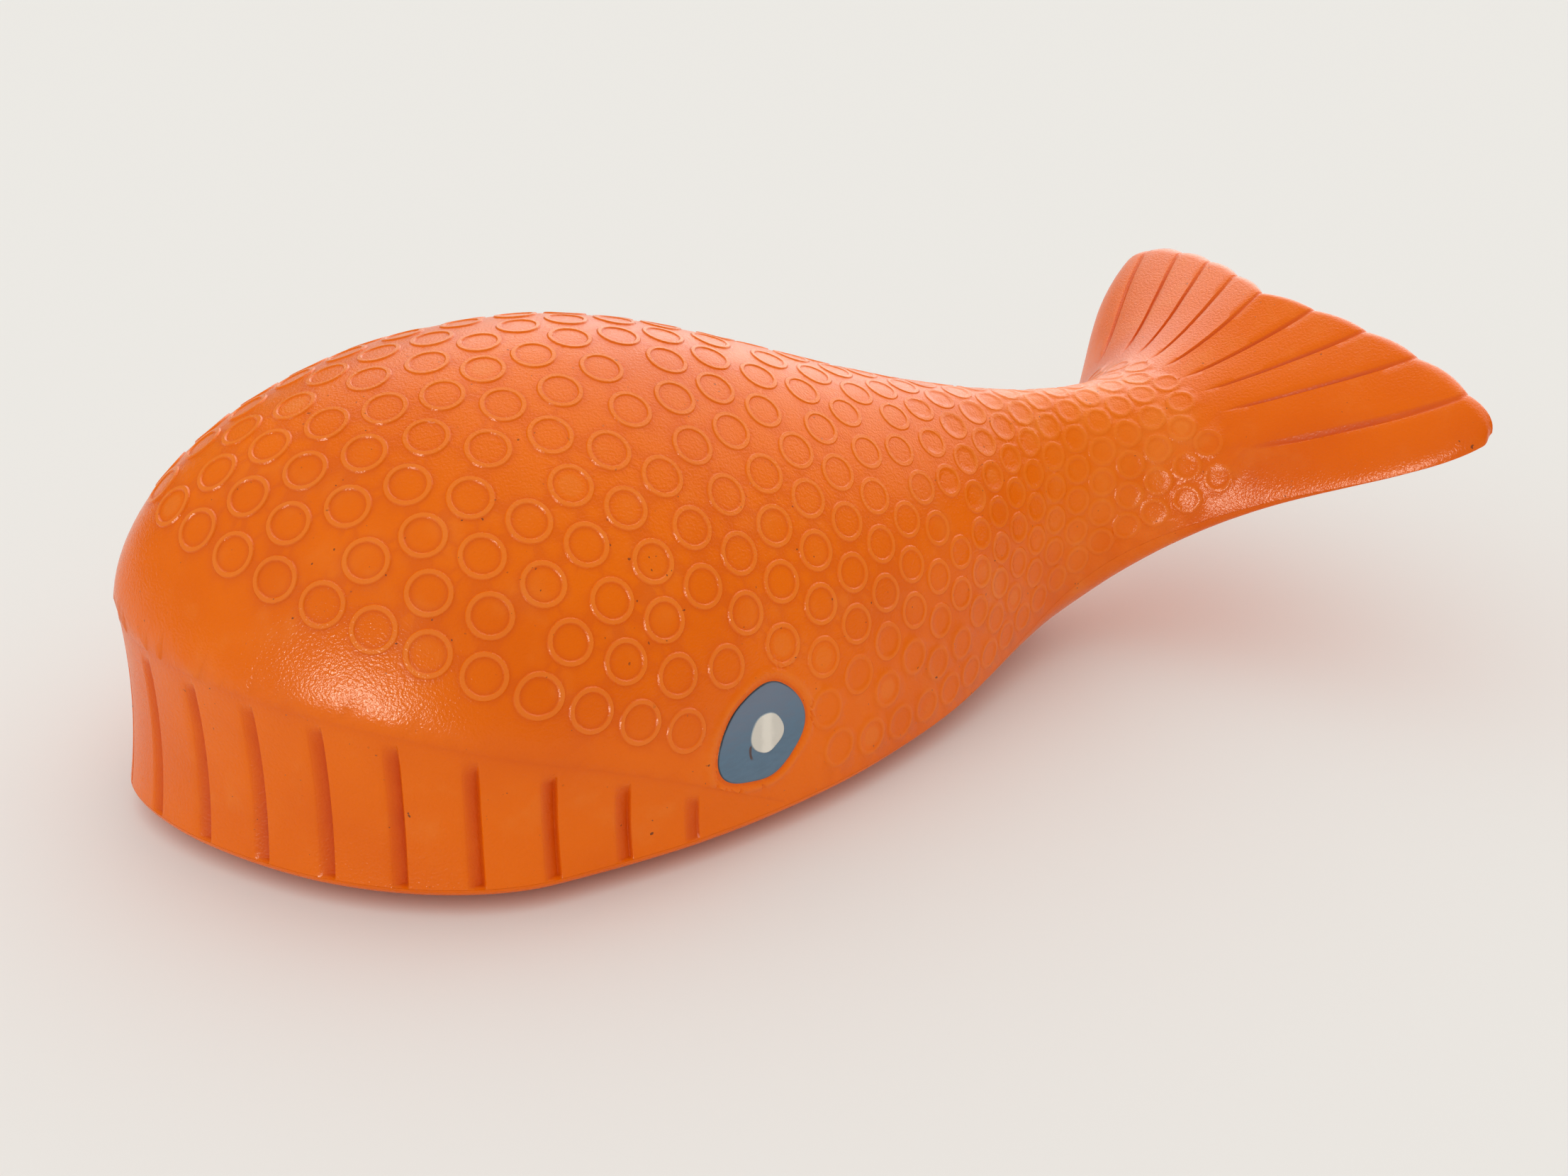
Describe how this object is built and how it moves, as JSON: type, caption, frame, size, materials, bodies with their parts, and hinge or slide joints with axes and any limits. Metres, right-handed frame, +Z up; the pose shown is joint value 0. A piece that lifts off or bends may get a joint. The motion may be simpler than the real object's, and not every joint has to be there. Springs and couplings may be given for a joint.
{
  "type": "fish rattle",
  "caption": "Hollow orange celluloid fish rattle: rounded body, grooved band round the head, raised horizontal tail fluke, flat belly, loose pellets inside that rattle.",
  "frame": {"origin": "on the table, under the middle of the overall length and on the plane of symmetry", "axes": "+X from the nose towards the tail fluke, +Y to the fish's right side, +Z up"},
  "size_m": [0.1674, 0.0816, 0.0544],
  "materials": {
    "celluloid": "gloss",
    "pellet": "matte"
  },
  "bodies": {
    "shell": {"back_shell": "celluloid", "belly_shell": "celluloid"},
    "pellet_1": {"pellet_1": "pellet"},
    "pellet_2": {"pellet_2": "pellet"},
    "pellet_3": {"pellet_3": "pellet"},
    "pellet_4": {"pellet_4": "pellet"},
    "pellet_5": {"pellet_5": "pellet"},
    "pellet_6": {"pellet_6": "pellet"},
    "pellet_7": {"pellet_7": "pellet"},
    "pellet_8": {"pellet_8": "pellet"},
    "pellet_9": {"pellet_9": "pellet"}
  },
  "joints": [
    {"name": "pellet_1_slide", "type": "slide", "parent": "shell", "child": "pellet_1", "axis": [1, 0, 0], "range_m": [-0.016, 0.032]},
    {"name": "pellet_2_slide", "type": "slide", "parent": "shell", "child": "pellet_2", "axis": [1, 0, 0], "range_m": [-0.032, 0.03]},
    {"name": "pellet_3_slide", "type": "slide", "parent": "shell", "child": "pellet_3", "axis": [1, 0, 0], "range_m": [-0.027, 0.04]},
    {"name": "pellet_4_slide", "type": "slide", "parent": "shell", "child": "pellet_4", "axis": [1, 0, 0], "range_m": [-0.038, 0.031]},
    {"name": "pellet_5_slide", "type": "slide", "parent": "shell", "child": "pellet_5", "axis": [1, 0, 0], "range_m": [-0.03, 0.041]},
    {"name": "pellet_6_slide", "type": "slide", "parent": "shell", "child": "pellet_6", "axis": [1, 0, 0], "range_m": [-0.038, 0.031]},
    {"name": "pellet_7_slide", "type": "slide", "parent": "shell", "child": "pellet_7", "axis": [1, 0, 0], "range_m": [-0.027, 0.04]},
    {"name": "pellet_8_slide", "type": "slide", "parent": "shell", "child": "pellet_8", "axis": [1, 0, 0], "range_m": [-0.032, 0.03]},
    {"name": "pellet_9_slide", "type": "slide", "parent": "shell", "child": "pellet_9", "axis": [1, 0, 0], "range_m": [-0.016, 0.032]}
  ]
}
